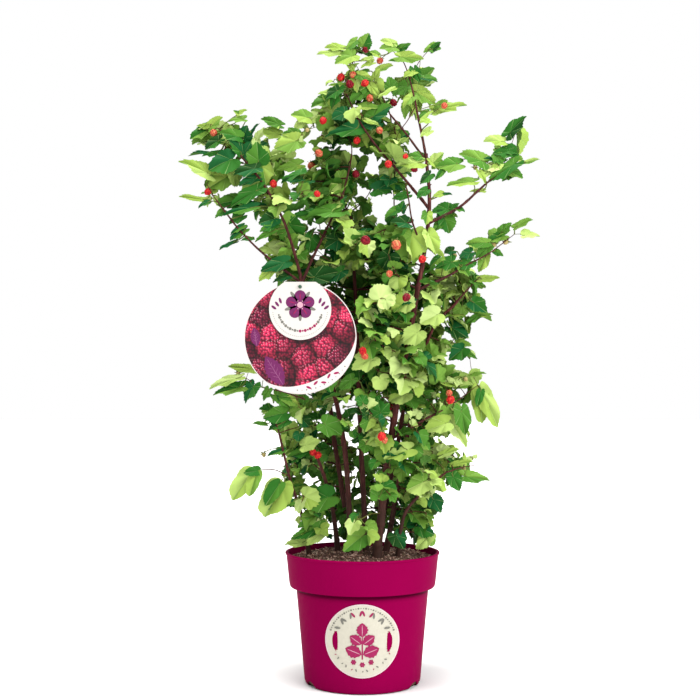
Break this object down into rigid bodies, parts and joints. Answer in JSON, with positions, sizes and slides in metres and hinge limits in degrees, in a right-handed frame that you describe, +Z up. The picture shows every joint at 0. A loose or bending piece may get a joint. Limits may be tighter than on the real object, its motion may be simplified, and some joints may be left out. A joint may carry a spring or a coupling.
{
  "type": "potted raspberry bush",
  "caption": "Raspberry bush of thin reddish canes and lobed green leaves with red fruit, in a round magenta nursery pot with a round print, a round fruit card hanging in its crown",
  "frame": {"origin": "centre of the pot's flat underside", "axes": "+Z up along the pot's axis, the front of the pot with its round print faces -Y, +X to the right as seen from the front"},
  "size_m": [0.5362, 0.298, 0.9728],
  "materials": {
    "pot_plastic": "satin",
    "soil": "rough, moist and crumbly",
    "label_print": "matt print",
    "tag_print": "semi-gloss print",
    "badge_card": "semi-gloss print",
    "hook_plastic": "glossy",
    "bark": "satin bark",
    "foliage": "satin leaf"
  },
  "bodies": {
    "root": {"bough_left_arm": "bark", "bough_left_bare": "bark", "bough_neck": "bark", "bough_right_arm": "bark", "bough_right_high": "bark", "bough_right_low": "bark", "bough_top_left": "bark", "bough_top_right": "bark", "bough_upper_left": "bark", "cane_back_left": "bark", "cane_back_right": "bark", "cane_centre": "bark", "cane_far_left": "bark", "cane_left": "bark", "cane_left_short": "bark", "cane_low_right": "bark", "cane_main": "bark", "cane_mid_right": "bark", "leaves_arm_low": "foliage", "leaves_arm_mid": "foliage", "leaves_arm_root": "foliage", "leaves_arm_tip": "foliage", "leaves_arm_top": "foliage", "leaves_back_high": "foliage", "leaves_back_left": "foliage", "leaves_back_right": "foliage", "leaves_behind_tag": "foliage", "leaves_centre_front": "foliage", "leaves_centre_high": "foliage", "leaves_crown_left": "foliage", "leaves_crown_right": "foliage", "leaves_foot_front": "foliage", "leaves_foot_left": "foliage", "leaves_foot_right": "foliage", "leaves_heart_back": "foliage", "leaves_heart_front": "foliage", "leaves_left_drop": "foliage", "leaves_left_leaf": "foliage", "leaves_left_low": "foliage", "leaves_low_centre": "foliage", "leaves_low_left": "foliage", "leaves_low_right": "foliage", "leaves_neck": "foliage", "leaves_neck_high": "foliage", "leaves_right_arm": "foliage", "leaves_right_drop": "foliage", "leaves_right_high": "foliage", "leaves_right_mid": "foliage", "leaves_right_tip": "foliage", "leaves_shoulder_left": "foliage", "leaves_shoulder_right": "foliage", "leaves_top_left": "foliage", "leaves_top_right": "foliage", "leaves_waist": "foliage", "pot": "pot_plastic", "pot_label": "label_print", "soil": "soil", "tag": "tag_print", "tag_badge": "badge_card", "tag_hook": "hook_plastic"}
  },
  "joints": []
}
